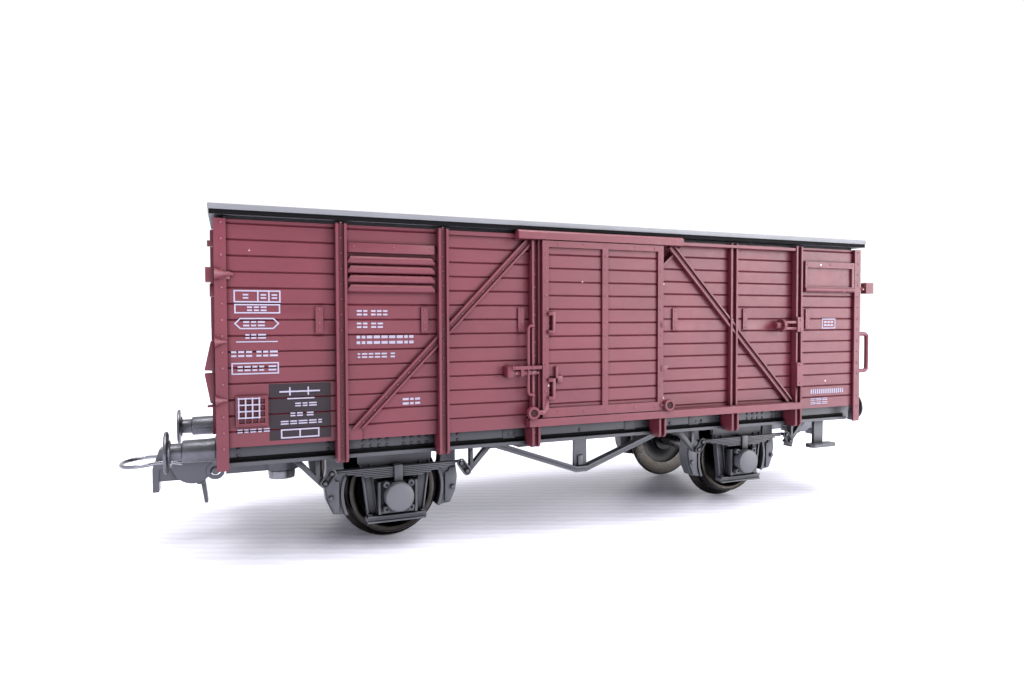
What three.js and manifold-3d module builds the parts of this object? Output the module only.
// Two-axle covered goods van, HO scale, as an assembly of separate sub-parts.
// Millimetres, +X along the van, +Z up, z = 0 where the wheel flanges stand.
// The van repeats itself when turned half a turn about +Z: "near" is -Y, "left" is -X.
import * as THREE from 'three';
import { mergeVertices } from 'three/addons/utils/BufferGeometryUtils.js';
import Module from 'manifold-3d';

const wasm = await Module();
wasm.setup();

// ---------------------------------------------------------------- driving sizes
const WALL_X = 44.9; // end wall, outer planks
const WALL_Y = 15.5; // side wall, outer planks
const WALL_T = 1.0; // wall thickness
const BODY_Z = [13.74, 37.52]; // bottom and top of the walls
const POST_END_X = 45.33; // outer face of the corner angles
const PLANK_PITCH = 1.673;
const STRAPS_X = [-34.9, -23.15, -11.05, 11.5, 23.4, 35.0]; // riveted plates on the planks
const GROOVES = Array.from({ length: 14 }, (_, i) => 15.36 + i * PLANK_PITCH);
const GROOVE = { half: 0.14, deep: 0.14 };

const DOOR_HALF = 8.75; // door leaf, closed, from x = -8.75 to 8.75
const DOOR_Z = [15.05, 36.65];
const DOOR_GROOVES = Array.from({ length: 12 }, (_, i) => 16.64 + i * 1.666);
const DOOR_HOLE_X = [-8.3, 8.3];
const DOOR_HOLE_Z = [15.4, 36.3];
const STILE = 0.85; // width of the door's frame strips
const DOOR_BACK = 16.3; // back of the leaf, clear of the shallow post it slides over
const DOOR_FACE = 16.68; // door planks
const DOOR_STRIP = 16.95; // door frame strips
const RAIL_FACE = 17.05;
const RAIL_TOP = 14.95;
const HOOD = { x: 11.9, z0: 36.75, z1: 37.85 };

const POST_FACE = 16.5; // outer edge of the side posts
const POST_LOW_FACE = 16.2; // the post the door slides over
const BRACE_FACE = 16.1;
const POSTS_X = [32.6, 21.05, 9.4];
const POST_W = 1.2;
const STUB_Z = 11.4; // posts end below the solebar

const ROOF = { x: 45.8, y: 16.3, under: 37.9, edge: 38.6, crown: 40.55 };
const ROOF_RIBS_X = [-36.4, -26.0, -15.6, -5.2, 5.2, 15.6, 26.0, 36.4];

const SOLEBAR_Y = 14.0;
const LIP_Y = 14.6;
const FRAME_Z = 11.5; // underside of the underframe
const AXLE_X = 25.745; // half wheelbase
const AXLE_Z = 6.37;
const BUFFER = { y: 10, z: 12.73, face: 50.65 };
const HEADSTOCK_X = POST_END_X;
const COUPLER_X = 38.0; // swing pivot
const HOOK_HINGE = { x: 45.75, z: 8.76 };

// ---------------------------------------------------------------- materials
const paint = (color, roughness, metalness = 0) =>
  new THREE.MeshStandardMaterial({ color, roughness, metalness });
const MAT = {
  body: paint(0x7d3a42, 0.55),
  roof: paint(0xaeb0b4, 0.6),
  frame: paint(0x45464b, 0.5),
  running: paint(0x595a60, 0.5),
  wood: paint(0x8a7358, 0.8),
  tyre: paint(0x6a5d52, 0.35, 0.9),
  centre: paint(0x2f3034, 0.55),
  steel: paint(0x8d8f94, 0.35, 1),
  weight: paint(0x6f7175, 0.5, 1),
  coupler: paint(0x34363b, 0.45),
  wire: paint(0xb9bbc2, 0.3, 1),
};

// ---------------------------------------------------------------- shape helpers
const GRID = 1e5; // corners sit on a 0.00001 mm grid, so faces meant to meet do meet

// A closed three.js geometry as a manifold-3d solid, corners merged and faces outward.
function toSolid(shape) {
  if (shape instanceof wasm.Manifold) return shape;
  const bare = (shape.index ? shape.toNonIndexed() : shape).clone();
  bare.deleteAttribute('normal');
  bare.deleteAttribute('uv');
  const corners = bare.getAttribute('position');
  corners.array.forEach((v, i) => {
    corners.array[i] = Math.round(v * GRID) / GRID;
  });
  const merged = mergeVertices(bare, 1e-4);
  const triangles = [];
  for (let i = 0; i < merged.index.count; i += 3) {
    const [a, b, c] = merged.index.array.slice(i, i + 3);
    if (a !== b && b !== c && c !== a) triangles.push([a, b, c]);
  }
  const build = (faces) => new wasm.Manifold(new wasm.Mesh({
    numProp: 3,
    vertProperties: merged.getAttribute('position').array,
    triVerts: new Uint32Array(faces.flat()),
  }));
  const solid = build(triangles);
  return solid.volume() > 0 ? solid : build(triangles.map(([a, b, c]) => [a, c, b]));
}

const union = (...shapes) => shapes.flat().map(toSolid).reduce((a, b) => a.add(b));
const cut = (shape, ...tools) => tools.flat().map(toSolid)
  .reduce((a, b) => a.subtract(b), toSolid(shape));

// Turns that lay a profile (u, v) and a distance t along the named axis into x, y, z.
const LAY = {
  x: new THREE.Matrix4().set(0, 0, 1, 0, 1, 0, 0, 0, 0, 1, 0, 0, 0, 0, 0, 1),
  y: new THREE.Matrix4().set(1, 0, 0, 0, 0, 0, -1, 0, 0, 1, 0, 0, 0, 0, 0, 1),
  z: new THREE.Matrix4(),
};

const loop = (outline) => outline
  .filter(([u, v], i) => i === 0 || u !== outline[i - 1][0] || v !== outline[i - 1][1])
  .map(([u, v]) => new THREE.Vector2(u, v));

// Straight prism of an outline (and holes) between two stations on an axis.
function prism(axis, outline, t0, t1, holes = []) {
  const shape = new THREE.Shape(loop(outline));
  shape.holes = holes.map((hole) => new THREE.Path(loop(hole)));
  const start = axis === 'y' ? -Math.max(t0, t1) : Math.min(t0, t1);
  return new THREE.ExtrudeGeometry(shape, { depth: Math.abs(t1 - t0), bevelEnabled: false })
    .translate(0, 0, start)
    .applyMatrix4(LAY[axis]);
}

function box(x0, x1, y0, y1, z0, z1) {
  return new THREE.BoxGeometry(x1 - x0, y1 - y0, z1 - z0)
    .translate((x0 + x1) / 2, (y0 + y1) / 2, (z0 + z1) / 2);
}

// Turned piece on an axis through `at`. Profile points are [radius, station] and start
// and end at radius 0; a ring's profile closes on its first point instead.
function revolve(axis, at, profile, segments) {
  const points = profile.map(([radius, t]) => new THREE.Vector2(radius, t));
  const turnedPiece = new THREE.LatheGeometry(points, segments);
  if (axis === 'x') turnedPiece.rotateZ(-Math.PI / 2);
  if (axis === 'z') turnedPiece.rotateX(Math.PI / 2);
  const [u, v] = at;
  const offset = { x: [0, u, v], y: [u, 0, v], z: [u, v, 0] }[axis];
  return turnedPiece.translate(...offset);
}

const ring = (axis, at, profile, segments) =>
  revolve(axis, at, [...profile, profile[0]], segments);

function disc(axis, at, radius, t0, t1, segments = 16) {
  return revolve(axis, at, [[0, t0], [radius, t0], [radius, t1], [0, t1]], segments);
}

// Round wire along a smooth path through the given points.
function wire(path, radius, steps, sides = 6) {
  const section = Array.from({ length: sides }, (_, i) => {
    const a = (2 * Math.PI * (i + 0.5)) / sides;
    return new THREE.Vector2(radius * Math.cos(a), radius * Math.sin(a));
  });
  const points = path.map((p) => new THREE.Vector3(...p));
  const extrudePath = new THREE.CatmullRomCurve3(points, false, 'catmullrom', 0.3);
  return new THREE.ExtrudeGeometry(new THREE.Shape(section),
    { steps, extrudePath, bevelEnabled: false });
}

// The same shape turned half a turn about +Z, or seen in a mirror across x = 0 or y = 0.
const turned = (shape) => shape.clone().rotateZ(Math.PI);
const mirrorX = (shape) => shape.clone().scale(-1, 1, 1);
const mirrorY = (shape) => shape.clone().scale(1, -1, 1);

// Outline of a bar with round ends between two points.
function capsule([u0, v0], [u1, v1], r, steps = 4) {
  const heading = Math.atan2(v1 - v0, u1 - u0);
  const end = (u, v, from) => Array.from({ length: steps + 1 }, (_, i) => {
    const a = from + (Math.PI * i) / steps;
    return [u + r * Math.cos(a), v + r * Math.sin(a)];
  });
  return [...end(u1, v1, heading - Math.PI / 2), ...end(u0, v0, heading + Math.PI / 2)];
}

// ---------------------------------------------------------------- body
// Outline of a planked wall, from its inner face to its grooved outer face.
function plankOutline(outer, inner, z0, z1, grooves = GROOVES) {
  const sign = Math.sign(outer);
  const edge = [[outer, z0]];
  for (const z of grooves.filter((g) => g > z0 + 0.3 && g < z1 - 0.3)) {
    edge.push([outer, z - GROOVE.half], [outer - sign * GROOVE.deep, z]);
    edge.push([outer, z + GROOVE.half]);
  }
  return [...edge, [outer, z1], [inner, z1], [inner, z0]];
}

function bodyShell() {
  const side = prism('x', plankOutline(-WALL_Y, -WALL_Y + WALL_T, ...BODY_Z),
    -WALL_X, WALL_X);
  const end = prism('y', plankOutline(-WALL_X, -WALL_X + WALL_T, ...BODY_Z),
    -WALL_Y + 0.5, WALL_Y - 0.5);
  const straps = STRAPS_X.map((x) =>
    box(x - 0.4, x + 0.4, -WALL_Y - 0.22, -WALL_Y + 0.4, 25.6, 28.5));
  const cardHolder = box(-43.45, -40.25, -15.8, -15.2, 15.9, 19.1);
  const half = [side, end, ...straps, cardHolder];
  const cardPocket = box(-43.2, -40.5, -16.0, -15.65, 16.15, 18.85);
  const doorHole = box(...DOOR_HOLE_X, -WALL_Y - 1, -WALL_Y + 2, ...DOOR_HOLE_Z);
  const cornerRecess = prism('y', [[9.0, 33.9], [12.2, 36.8], [9.0, 36.8]],
    -WALL_Y - 1, -WALL_Y + 0.75);
  const holes = [doorHole, cardPocket, cornerRecess];
  return cut(union(...half, ...half.map(turned)), ...holes, ...holes.map(turned));
}

function arc(halfWidth, edgeZ, crownZ, steps) {
  const rise = crownZ - edgeZ;
  const radius = (halfWidth ** 2 + rise ** 2) / (2 * rise);
  return Array.from({ length: steps + 1 }, (_, i) => {
    const y = -halfWidth + (2 * halfWidth * i) / steps;
    return [y, crownZ - radius + Math.sqrt(radius ** 2 - y ** 2)];
  });
}

function roof() {
  const top = arc(ROOF.y, ROOF.edge, ROOF.crown, 14);
  const slab = prism('x', [...top, [ROOF.y, ROOF.under], [-ROOF.y, ROOF.under]],
    -ROOF.x, ROOF.x);
  const rib = arc(ROOF.y - 0.1, ROOF.edge + 0.14, ROOF.crown + 0.16, 14);
  const ribs = ROOF_RIBS_X.map((x) => prism('x',
    [...rib, [ROOF.y - 0.1, ROOF.under + 0.2], [-ROOF.y + 0.1, ROOF.under + 0.2]],
    x - 0.4, x + 0.4));
  const lip = box(-44.4, 44.4, -15.0, 15.0, BODY_Z[1], ROOF.under + 0.2);
  const vault = arc(14.0, 37.9, 39.5, 8);
  const hollow = prism('x', [...vault, [14.0, 37.0], [-14.0, 37.0]], -43.4, 43.4);
  return cut(union(slab, ...ribs, lip), hollow);
}

const cargoFloor = () => box(-43.8, 43.8, -14.4, 14.4, BODY_Z[0], 14.6);

// ---------------------------------------------------------------- side framing
// Upright channel, open outward, carried down past the solebar as a stub.
function post(x, face, width = POST_W, top = BODY_Z[1]) {
  const h = width / 2;
  const outline = [[-WALL_Y, top], [-face, top], [-face, 14.8],
    [-POST_FACE, 14.8], [-POST_FACE, 11.75], [-POST_FACE + 0.3, STUB_Z],
    [-LIP_Y, STUB_Z], [-LIP_Y, 11.95], [-SOLEBAR_Y, 11.95], [-SOLEBAR_Y, BODY_Z[0]],
    [-WALL_Y, BODY_Z[0]]];
  const solid = prism('x', outline, x - h, x + h);
  const groove = [
    box(x - h + 0.28, x + h - 0.28, -face - 1, -face + 0.45, 14.8, 39),
    box(x - h + 0.28, x + h - 0.28, -POST_FACE - 1, -POST_FACE + 0.45, 11, 14.8),
  ];
  return cut(solid, ...groove);
}

// Inclined channel between two points on the side.
function brace([x0, z0], [x1, z1]) {
  const length = Math.hypot(x1 - x0, z1 - z0);
  const [nx, nz] = [-(z1 - z0) / length, (x1 - x0) / length];
  const strip = (h, y0, y1) => prism('y', [[x0 + nx * h, z0 + nz * h],
    [x1 + nx * h, z1 + nz * h], [x1 - nx * h, z1 - nz * h], [x0 - nx * h, z0 - nz * h]],
  y0, y1);
  return cut(
    strip(0.48, -BRACE_FACE, -WALL_Y),
    strip(0.24, -BRACE_FACE - 1, -BRACE_FACE + 0.26),
    box(-40, 40, -18, -14, HOOD.z0 - 0.05, 39),
    box(-40, 40, -18, -14, 10, RAIL_TOP + 0.05),
  );
}

const gusset = (x0, x1, z0, z1) => box(x0, x1, -WALL_Y - 0.3, -WALL_Y, z0, z1);

// Latch bar over its bolt, and the long grab handle bent back to the door post.
function latchAndGrab() {
  const grab = [[-9.75, 26.3], [-10.3, 26.25], [-10.53, 25.9], [-10.53, 22],
    [-10.53, 18.3], [-10.3, 17.92], [-9.75, 17.87]];
  return union(
    box(-13.3, -12.6, -16.8, -WALL_Y, 20.1, 21.4),
    box(-12.7, -8.85, -16.95, -16.4, 21.02, 21.43),
    box(-12.7, -9.4, -16.7, -16.3, 20.35, 20.8),
    box(-11.6, -11.2, -16.9, -WALL_Y, 20.2, 21.1),
    wire(grab.map(([x, z]) => [x, -16.62, z]), 0.2, 30),
  );
}

function bayFrameLeft() {
  return union(
    post(-POSTS_X[0], POST_FACE),
    post(-POSTS_X[1], POST_FACE),
    post(-POSTS_X[2], POST_FACE, 1.1, HOOD.z0 - 0.05),
    brace([-31.6, 14.3], [-9.6, 37.1]),
    gusset(-32.1, -30.4, BODY_Z[0], 15.2),
    latchAndGrab(),
  );
}

// Spring catch on the outer post that keeps the open door back.
function doorCatch() {
  return union(
    box(32.05, 33.15, -16.75, -POST_FACE + 0.2, 25.2, 27.3),
    box(32.05, 33.15, -16.75, -POST_FACE + 0.2, 17.3, 20.7),
    box(29.4, 32.1, -16.6, -16.25, 26.4, 26.75),
    box(29.4, 32.1, -16.6, -16.25, 25.5, 25.85),
    disc('x', [-16.42, 26.13], 0.95, 29.1, 29.5, 12),
    disc('x', [-16.42, 26.13], 0.45, 28.2, 29.2, 10),
  );
}

function bayFrameRight() {
  const recessRim = prism('y', [[9.3, 33.75], [12.55, 36.7], [12.15, 36.7], [9.3, 34.12]],
    -WALL_Y - 0.2, -WALL_Y);
  return union(
    post(POSTS_X[0], POST_FACE),
    post(POSTS_X[1], POST_LOW_FACE),
    post(9.0, WALL_Y + 0.3, 1.1, HOOD.z0 - 0.05),
    brace([10.6, 36.85], [32.3, 14.2]),
    recessRim,
    doorCatch(),
  );
}

function lowerRail(frames) {
  const rail = box(-10.5, 32.5, -RAIL_FACE, -WALL_Y, 14.0, RAIL_TOP);
  const slot = box(-11, 33, -DOOR_STRIP + 0.1, -DOOR_BACK, RAIL_TOP - 0.18, 16);
  return cut(rail, slot, ...frames);
}

function upperRail(frames) {
  const { x, z0, z1 } = HOOD;
  const hood = prism('x', [[-WALL_Y, z0], [-RAIL_FACE, z0], [-RAIL_FACE, z1 - 0.25],
    [-WALL_Y - 1.2, z1], [-WALL_Y, z1]], -x, x);
  const right = box(x - 0.1, 31.9, -16.4, -WALL_Y, 36.88, 37.3);
  const left = box(-20.3, -x + 0.1, -WALL_Y - 0.35, -WALL_Y, 36.95, 37.45);
  return cut(union(hood, right, left), ...frames);
}

// ---------------------------------------------------------------- doors
// Pull handle standing beside a stile, in the plane of the leaf.
function doorHandle(z0, z1) {
  return [
    box(-7.55, -7.17, -17.3, -DOOR_FACE + 0.05, z0, z1),
    box(-8.1, -7.3, -17.3, -DOOR_STRIP + 0.1, z0, z0 + 0.38),
    box(-8.1, -7.3, -17.3, -DOOR_STRIP + 0.1, z1 - 0.38, z1),
  ];
}

function rollerBracket(x, arm) {
  const z = 15.72;
  return [
    disc('y', [x, z], 0.72, -17.3, -16.6, 12),
    box(Math.min(x, arm), Math.max(x, arm), -17.1, -16.6, z - 0.25, z + 0.25),
  ];
}

function door() {
  const x = DOOR_HALF;
  const [z0, z1] = DOOR_Z;
  const outline = plankOutline(-DOOR_FACE, -DOOR_BACK, z0, z1, DOOR_GROOVES);
  const strip = (a, b, c, d) => box(a, b, -DOOR_STRIP, -DOOR_BACK, c, d);
  const catchPlate = (zc) => box(x - 0.4, x + 0.6, -17.0, -DOOR_BACK - 0.05, zc - 0.38, zc + 0.38);
  return union(
    prism('x', outline, -x, x),
    strip(-x, -x + STILE, z0, z1),
    strip(-STILE / 2, STILE / 2, z0, z1),
    strip(x - STILE, x, z0, z1),
    strip(-x, x, z0, 16.19),
    strip(-x, x, 35.87, z1),
    ...doorHandle(25.35, 27.93),
    ...doorHandle(17.26, 19.83),
    box(-7.05, -6.75, -17.1, -DOOR_FACE + 0.1, 19.8, 21.27),
    box(-6.8, -6.14, -17.1, -DOOR_FACE + 0.1, 19.3, 20.1),
    catchPlate(26.35),
    catchPlate(20.6),
    ...rollerBracket(-10.1, -8.5),
    ...rollerBracket(9.5, 8.5),
  );
}

// ---------------------------------------------------------------- vents and ends
function louvreVent() {
  const back = [[-WALL_Y, 35.7], [-WALL_Y, 30.4]];
  const edge = [[-15.75, 30.4]];
  for (const z of [31.35, 32.4, 33.45, 34.5]) {
    edge.push([-16.2, z - 0.72], [-16.2, z - 0.52], [-15.75, z]);
  }
  edge.push([-16.05, 34.6], [-16.05, 35.7]);
  const slats = prism('x', [...back, ...edge], -31.5, -22.1);
  const sides = [[-31.8, -31.4], [-22.2, -21.8]].map(([a, b]) =>
    box(a, b, -16.05, -WALL_Y, 30.4, 35.7));
  return union(slats, ...sides);
}

function flapVent() {
  const plate = box(34.2, 44.0, -16.0, -WALL_Y, 31.5, 35.5);
  const recess = box(34.6, 43.5, -17, -WALL_Y - 0.2, 31.8, 34.6);
  const rod = disc('x', [-15.85, 31.4], 0.35, 34.2, 44.0, 10);
  const foot = box(34.2, 44.0, -15.8, -WALL_Y, 31.0, 31.6);
  return union(cut(plate, recess), foot, rod);
}

function lampIronLeft() {
  return [
    box(-46.15, -45.25, -15.6, -14.0, 31.0, 32.5),
    prism('z', [[-45.3, -15.75], [-43.8, -15.75], [-43.8, -15.85], [-45.3, -16.2]], 31.3, 32.1),
  ];
}

function lampIronRight() {
  return [
    box(45.2, 47.2, -15.2, -14.8, 31.4, 31.9),
    box(47.1, 48.6, -15.5, -14.5, 30.95, 32.6),
  ];
}

// Everything that stands on one end wall: corner angles, posts, rails and lamp irons.
function endFrame(farIron) {
  const sideLeg = box(-POST_END_X, -44.15, -15.8, -WALL_Y, BODY_Z[0], BODY_Z[1]);
  const endLeg = box(-POST_END_X, -WALL_X, -15.95, -14.4, BODY_Z[0], BODY_Z[1]);
  const face = box(-POST_END_X, -44.15, -15.95, -15.65, STUB_Z, BODY_Z[1]);
  const bar = (z0, z1) => box(-POST_END_X, -WALL_X, -15, 15, z0, z1);
  const upright = (y) => cut(
    box(-45.9, -WALL_X, y - 0.6, y + 0.6, BODY_Z[0], BODY_Z[1]),
    box(-46.5, -45.5, y - 0.32, y + 0.32, 13, 39),
  );
  const corner = [sideLeg, endLeg, face];
  return union(
    ...corner,
    ...corner.map(mirrorY),
    bar(BODY_Z[0], 14.7),
    bar(37.1, BODY_Z[1]),
    upright(-5),
    upright(5),
    ...lampIronLeft(),
    ...farIron,
    box(-45.95, -45.2, -14.9, -14.3, 34.7, 35.3),
    box(-45.75, -45.2, -15.4, -14.4, 29.5, 30.8),
  );
}

// Hand grips at the height of the corner angles, beside the side at y: two bowed blades
// with a slit between them on the left end, a bent wire on the right end.
function grabLeft(y) {
  const blades = [[-45.33, 25.0], [-45.75, 24.9], [-46.4, 21.85], [-45.6, 21.8],
    [-45.6, 21.62], [-46.4, 21.57], [-45.85, 18.45], [-45.33, 18.3]];
  return prism('y', blades, y - 0.3, y + 0.3);
}

function grabRight(y) {
  return wire([[45.33, y, 24.7], [47.5, y, 24.7], [47.85, y, 24.4], [47.9, y, 23.7],
    [47.9, y, 20.0], [47.85, y, 19.3], [47.5, y, 19.0], [45.33, y, 19.0]], 0.32, 16);
}

// ---------------------------------------------------------------- underframe
// Shunter's step under the right-hand end of the near solebar.
function step() {
  const tread = prism('z', [[37.4, -13.2], [37.0, -13.6], [37.0, -14.5], [37.4, -15.0],
    [41.6, -15.0], [42.0, -14.6], [42.0, -13.5], [41.7, -13.2]], 7.55, 8.05);
  const hanger = prism('x', [[-13.1, 11.8], [-13.1, 7.6], [-13.55, 7.6], [-13.62, 11.8]],
    38.7, 40.5);
  return [tread, hanger];
}

const rectangle = (x, y) => [[-x, -y], [x, -y], [x, y], [-x, y]];

// Solebars and end members in one ring, with the lip, a headstock and a step per side.
function underframe() {
  const rim = prism('z', rectangle(44.3, SOLEBAR_Y), FRAME_Z, BODY_Z[0],
    [rectangle(43.4, 13.0)]);
  const deck = box(-43.5, 43.5, -13.1, 13.1, 11.9, 12.6);
  const wells = [-AXLE_X, AXLE_X].flatMap((x) => [-8.6, 8.6].map((y) =>
    box(x - 7.0, x + 7.0, y - 2.1, y + 2.1, 11, 14)));
  const lip = box(-44.2, 44.2, -LIP_Y, -13.9, 11.53, 11.95);
  const headstock = box(-HEADSTOCK_X, -44.1, -13.95, 13.95, 11.55, 13.69);
  const boss = disc('z', [COUPLER_X, 0], 2.0, 9.35, 12.0, 18);
  const half = [lip, headstock, boss, ...step()];
  return union(cut(deck, ...wells), rim, ...half, ...half.map(turned));
}

const ballast = () => box(-36, 36, -6.0, 6.0, 12.6, 13.5);

// Shallow V truss under one solebar, with its queen post.
function truss() {
  const line = [[-13.0, 11.1], [-0.8, 6.75], [0.8, 6.75], [13.0, 11.1]];
  const outline = [...line.map(([x, z]) => [x, z + 0.4]),
    ...line.map(([x, z]) => [x, z - 0.42]).reverse()];
  const bar = prism('y', outline, -10.5, -9.5);
  const queen = box(-0.95, 0.95, -10.25, -9.75, 6.8, FRAME_Z);
  const lug = box(-0.45, 0.3, -10.5, -10.2, 7.3, 8.6);
  const feet = [-13.2, 13.2].map((x) => box(x - 0.6, x + 0.6, -10.5, -9.5, 10.5, FRAME_Z));
  const trim = box(-20, 20, -12, -8, FRAME_Z, 13);
  return cut(union(bar, queen, lug, ...feet), trim);
}

// ---------------------------------------------------------------- running gear
// Axle guard plate, axlebox and its round cover, around x = 0.
function axleUnit() {
  const guard = prism('y', [[-4.45, FRAME_Z], [-4.45, 10.05], [-4.2, 10.05], [-3.35, 3.25],
    [3.35, 3.25], [4.2, 10.05], [4.45, 10.05], [4.45, FRAME_Z]], -11.5, -10.9,
  [[[-1.7, 3.8], [1.7, 3.8], [1.7, 8.6], [-1.7, 8.6]]]);
  const tie = box(-3.6, 3.6, -12.2, -11.0, 3.25, 3.75);
  const nuts = [-3.1, 3.1].map((x) => disc('z', [x, -11.86], 0.3, 3.0, 4.1, 6));
  const housing = box(-2.3, 2.3, -12.6, -10.9, 4.2, 8.0);
  const cover = disc('y', [0, AXLE_Z - 0.07], 1.66, -14.0, -12.5, 16);
  const bolts = [[-1.45, 1.4], [1.45, 1.4], [-1.45, -1.5], [1.45, -1.5]].map(([x, z]) =>
    disc('y', [x, AXLE_Z + z], 0.3, -13.3, -12.4, 6));
  const socket = revolve('y', [0, AXLE_Z],
    [[0, -12.35], [0.12, -12.35], [0.75, -11.6], [0.75, -10.5], [0, -10.5]], 12);
  return cut(union(guard, tie, ...nuts, housing, cover, ...bolts), socket);
}

// Laminated spring with buckle, shackles and the two hanging brackets.
function leafSpring() {
  const leaves = [[7.75, 9.75], [7.75, 9.54], [6.7, 9.54], [6.7, 9.33], [5.7, 9.33],
    [5.7, 9.12], [4.7, 9.12], [4.7, 8.91], [3.7, 8.91], [3.7, 8.7], [2.7, 8.7], [2.7, 8.5]];
  const outline = [...leaves, ...leaves.map(([x, z]) => [-x, z]).reverse()];
  const half = [
    prism('y', capsule([7.7, 9.6], [8.45, 8.55], 0.42, 3), -13.3, -12.9),
    disc('y', [7.7, 9.6], 0.25, -13.5, -12.4, 6),
    disc('y', [8.45, 8.55], 0.25, -13.5, -12.4, 6),
    prism('y', [[8.0, 8.5], [8.4, 8.1], [8.9, 8.15], [12.1, FRAME_Z], [8.95, FRAME_Z],
      [8.95, 9.25]], -12.95, -12.1, [[[9.35, 11.2], [11.1, 11.2], [9.35, 9.3]]]),
  ];
  return union(
    prism('y', outline, -12.95, -11.95),
    box(-0.5, 0.5, -13.2, -11.75, 8.0, 9.95),
    ...half,
    ...half.map(mirrorX),
  );
}

// A pair of brake shoes on one side of a wheelset, hung from a common cross bar.
function brakeGear() {
  const [r, a0, a1] = [5.95, -0.42, 0.34];
  const rim = Array.from({ length: 7 }, (_, i) => {
    const a = a0 + ((a1 - a0) * i) / 6;
    return [r * Math.cos(a), AXLE_Z + r * Math.sin(a)];
  });
  const outline = [...rim, [5.9, 9.3], [6.1, FRAME_Z], [7.9, FRAME_Z], [7.9, 9.4],
    [8.15, 7.3], [7.9, 5.6], [7.2, 4.1], [5.9, 3.9]];
  const shoe = prism('y', outline, -10.2, -8.3);
  const pin = disc('y', [7.55, 6.1], 0.27, -10.5, -10.1, 8);
  const bar = box(6.9, 7.8, -8.4, 8.4, 10.6, FRAME_Z);
  return union(shoe, pin, mirrorY(shoe), mirrorY(pin), bar);
}

const WHEEL_SEGMENTS = 24;

function tyre() {
  return ring('y', [0, 0], [[4.25, -7.3], [5.9, -7.2], [6.37, -7.5], [5.5, -8.05],
    [5.3, -9.75], [5.15, -9.9], [4.55, -9.9], [4.25, -9.4]], WHEEL_SEGMENTS);
}

function wheelCentre() {
  return ring('y', [0, 0], [[1.0, -6.9], [1.9, -6.9], [2.1, -7.6], [4.25, -7.6],
    [4.25, -9.2], [2.1, -9.1], [1.8, -9.7], [1.0, -9.7]], WHEEL_SEGMENTS);
}

function axle() {
  const half = [[0, -12.15], [0.1, -12.15], [0.55, -11.55], [0.55, -10.2], [1.0, -10.0]];
  const other = half.map(([r, y]) => [r, -y]).reverse();
  return revolve('y', [0, 0], [...half, ...other], WHEEL_SEGMENTS);
}

// ---------------------------------------------------------------- buffers and couplers
function buffer() {
  const { face } = BUFFER;
  const profile = [[0, HEADSTOCK_X], [1.7, HEADSTOCK_X], [1.2, 45.9], [1.2, 48.9],
    [0.95, 49.0], [0.95, 50.0], [2.3, 50.35], [2.2, 50.6], [1.6, face], [0, face]];
  return revolve('x', [0, 0], profile, 18);
}

// Coupler bar and hook head: pivots under the frame, carries the loop's hinge.
function couplerBar() {
  const eye = disc('z', [COUPLER_X, 0], 2.2, 8.1, 9.25, 16);
  const shank = box(38, 50.2, -1.25, 1.25, 8.1, 9.25);
  const arm = box(49.0, 52.4, -1.0, 1.0, 7.75, 9.3);
  const hook = prism('y', [[52.0, 6.5], [52.7, 6.5], [52.7, 9.35], [51.95, 11.6],
    [51.55, 11.6], [51.1, 9.2], [52.0, 9.2]], -1.1, 1.1);
  const hinge = disc('y', [HOOK_HINGE.x, HOOK_HINGE.z], 0.45, -2.3, 2.3, 10);
  const notch = box(44.6, 49.0, -3, 3, 7, 8.65);
  const hole = disc('z', [COUPLER_X, 0], 0.95, 8, 10, 16);
  return cut(union(cut(union(shank, arm), notch), eye, hook, hinge), hole);
}

// Lifting loop: two cheeks on the hinge, the wire bail and the drop tongue.
function couplerLoop() {
  const bowl = Array.from({ length: 9 }, (_, i) => {
    const a = Math.PI + (Math.PI * i) / 8;
    return [48.2 + 2.35 * Math.cos(a), 9.75 + 2.35 * Math.sin(a)];
  });
  const cheek = [
    prism('y', [...bowl, [50.4, 10.05], [46.0, 9.85]], -2.05, -1.6),
    disc('y', [HOOK_HINGE.x, HOOK_HINGE.z], 1.05, -2.05, -1.6, 12),
  ];
  const eye = disc('y', [HOOK_HINGE.x, HOOK_HINGE.z], 0.62, -3, 3, 10);
  const bridge = box(46.95, 47.85, -1.8, 1.8, 7.2, 7.75);
  const tongue = prism('y', [[46.95, 7.5], [47.5, 7.5], [47.05, 4.65], [46.65, 4.65]], -0.9, 0.9);
  const side = [[49.4, -1.85, 9.85], [51.9, -2.1, 10.2], [53.4, -2.75, 10.15],
    [54.6, -2.75, 10.05], [55.5, -2.1, 10.0], [56.0, -1.0, 10.0]];
  const mirrored = side.map(([x, y, z]) => [x, -y, z]).reverse();
  const bail = wire([...side, ...mirrored], 0.23, 24);
  return union(cut(union(...cheek, ...cheek.map(mirrorY)), eye), bridge, tongue, bail);
}

// Shouldered screw that holds the coupler bar up against its boss.
function pivotScrew() {
  const head = disc('z', [COUPLER_X, 0], 1.65, 6.9, 7.95, 16);
  const shaft = disc('z', [COUPLER_X, 0], 0.8, 7.9, 9.35, 16);
  const slot = box(COUPLER_X - 2, COUPLER_X + 2, -0.25, 0.25, 6, 7.2);
  return cut(union(head, shaft), slot);
}

// ---------------------------------------------------------------- assembly
const van = new THREE.Group();
van.name = 'box_van';

// Pieces as drawn, and the same pieces turned half a turn about +Z.
const firstHalf = new THREE.Group();
const secondHalf = new THREE.Group();
secondHalf.rotation.z = Math.PI;
van.add(firstHalf, secondHalf);

function toGeometry(shape) {
  const data = toSolid(shape).getMesh();
  const geometry = new THREE.BufferGeometry();
  geometry.setAttribute('position', new THREE.BufferAttribute(data.vertProperties, 3));
  geometry.setIndex(new THREE.BufferAttribute(data.triVerts, 1));
  geometry.computeVertexNormals();
  return geometry;
}

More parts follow.
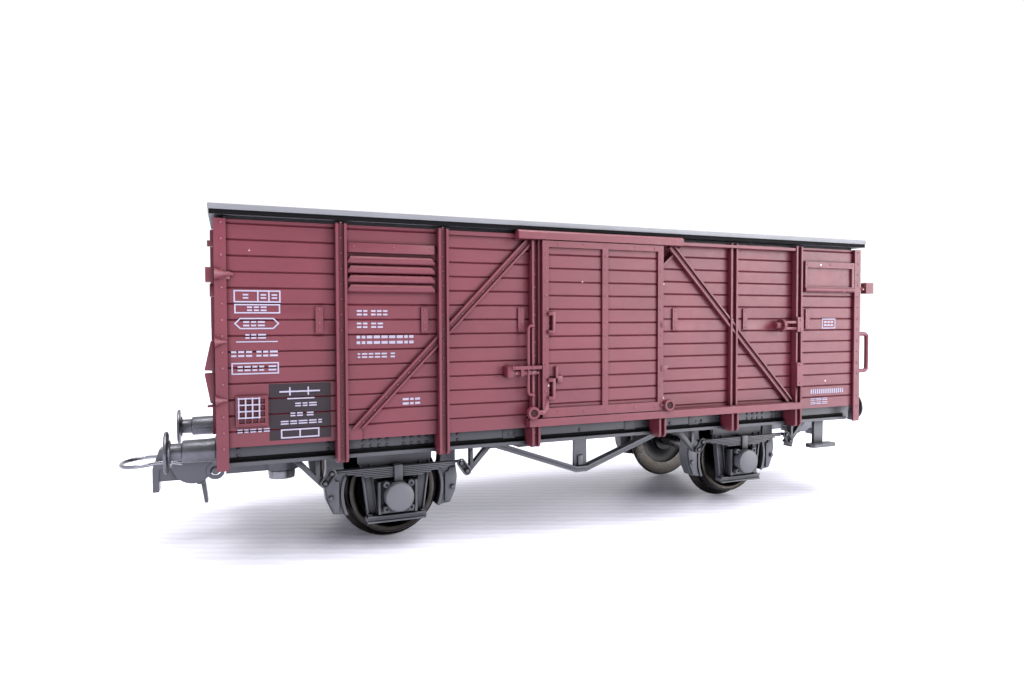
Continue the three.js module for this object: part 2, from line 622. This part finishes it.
function add(parent, name, geometry, material, position = [0, 0, 0]) {
  const mesh = new THREE.Mesh(geometry, material);
  mesh.name = name;
  mesh.position.set(...position);
  parent.add(mesh);
  return mesh;
}

// Two copies of a piece, one in each half.
function addPair(names, shape, material, position) {
  const geometry = toGeometry(shape);
  add(firstHalf, names[0], geometry, material, position);
  add(secondHalf, names[1], geometry, material, position);
}

add(van, 'body_shell', toGeometry(bodyShell()), MAT.body);
add(van, 'roof', toGeometry(roof()), MAT.roof);
add(van, 'cargo_floor', toGeometry(cargoFloor()), MAT.wood);
add(van, 'underframe', toGeometry(underframe()), MAT.frame);
add(van, 'ballast_plate', toGeometry(ballast()), MAT.weight);

const frames = [bayFrameLeft(), bayFrameRight()];
addPair(['bay_frame_near_left', 'bay_frame_far_right'], frames[0], MAT.body);
addPair(['bay_frame_near_right', 'bay_frame_far_left'], frames[1], MAT.body);
add(firstHalf, 'end_frame_left',
  toGeometry(endFrame([mirrorY(lampIronLeft()[0])])), MAT.body);
add(secondHalf, 'end_frame_right',
  toGeometry(endFrame(lampIronRight().map(turned))), MAT.body);
addPair(['door_rail_near', 'door_rail_far'], lowerRail(frames), MAT.body);
addPair(['door_hood_near', 'door_hood_far'], upperRail(frames), MAT.body);
addPair(['door_near', 'door_far'], door(), MAT.body);
addPair(['louvre_vent_near', 'louvre_vent_far'], louvreVent(), MAT.body);
addPair(['flap_vent_near', 'flap_vent_far'], flapVent(), MAT.body);
for (const [row, y] of [['near', -14.9], ['far', 14.9]]) {
  add(van, `grab_iron_${row}_left`, toGeometry(grabLeft(y)), MAT.body);
  add(van, `grab_iron_${row}_right`, toGeometry(grabRight(y)), MAT.body);
}
addPair(['truss_near', 'truss_far'], truss(), MAT.running);
addPair(['coupler_bar_right', 'coupler_bar_left'], couplerBar(), MAT.coupler);
addPair(['coupler_loop_right', 'coupler_loop_left'], couplerLoop(), MAT.wire);
addPair(['pivot_screw_right', 'pivot_screw_left'], pivotScrew(), MAT.steel);

for (const [row, across, y] of [['far', 'near', BUFFER.y], ['near', 'far', -BUFFER.y]]) {
  const names = [`buffer_${row}_right`, `buffer_${across}_left`];
  addPair(names, buffer(), MAT.steel, [0, y, BUFFER.z]);
}

for (const [side, other, x] of [['right', 'left', AXLE_X], ['left', 'right', -AXLE_X]]) {
  const near = (piece) => [`${piece}_near_${side}`, `${piece}_far_${other}`];
  addPair(near('axle_guard'), axleUnit(), MAT.running, [x, 0, 0]);
  addPair(near('leaf_spring'), leafSpring(), MAT.running, [x, 0, 0]);
  const brakes = [`brake_gear_${side}_set_right`, `brake_gear_${other}_set_left`];
  addPair(brakes, brakeGear(), MAT.running, [x, 0, 0]);

  const wheelset = new THREE.Group();
  wheelset.position.set(x, 0, AXLE_Z);
  van.add(wheelset);
  add(wheelset, `axle_${side}`, toGeometry(axle()), MAT.steel);
  const wheel = [['tyre', toGeometry(tyre()), MAT.tyre],
    ['wheel_centre', toGeometry(wheelCentre()), MAT.centre]];
  for (const [piece, geometry, material] of wheel) {
    add(wheelset, `${piece}_near_${side}`, geometry, material);
    add(wheelset, `${piece}_far_${side}`, geometry, material).rotation.z = Math.PI;
  }
}

export default van;
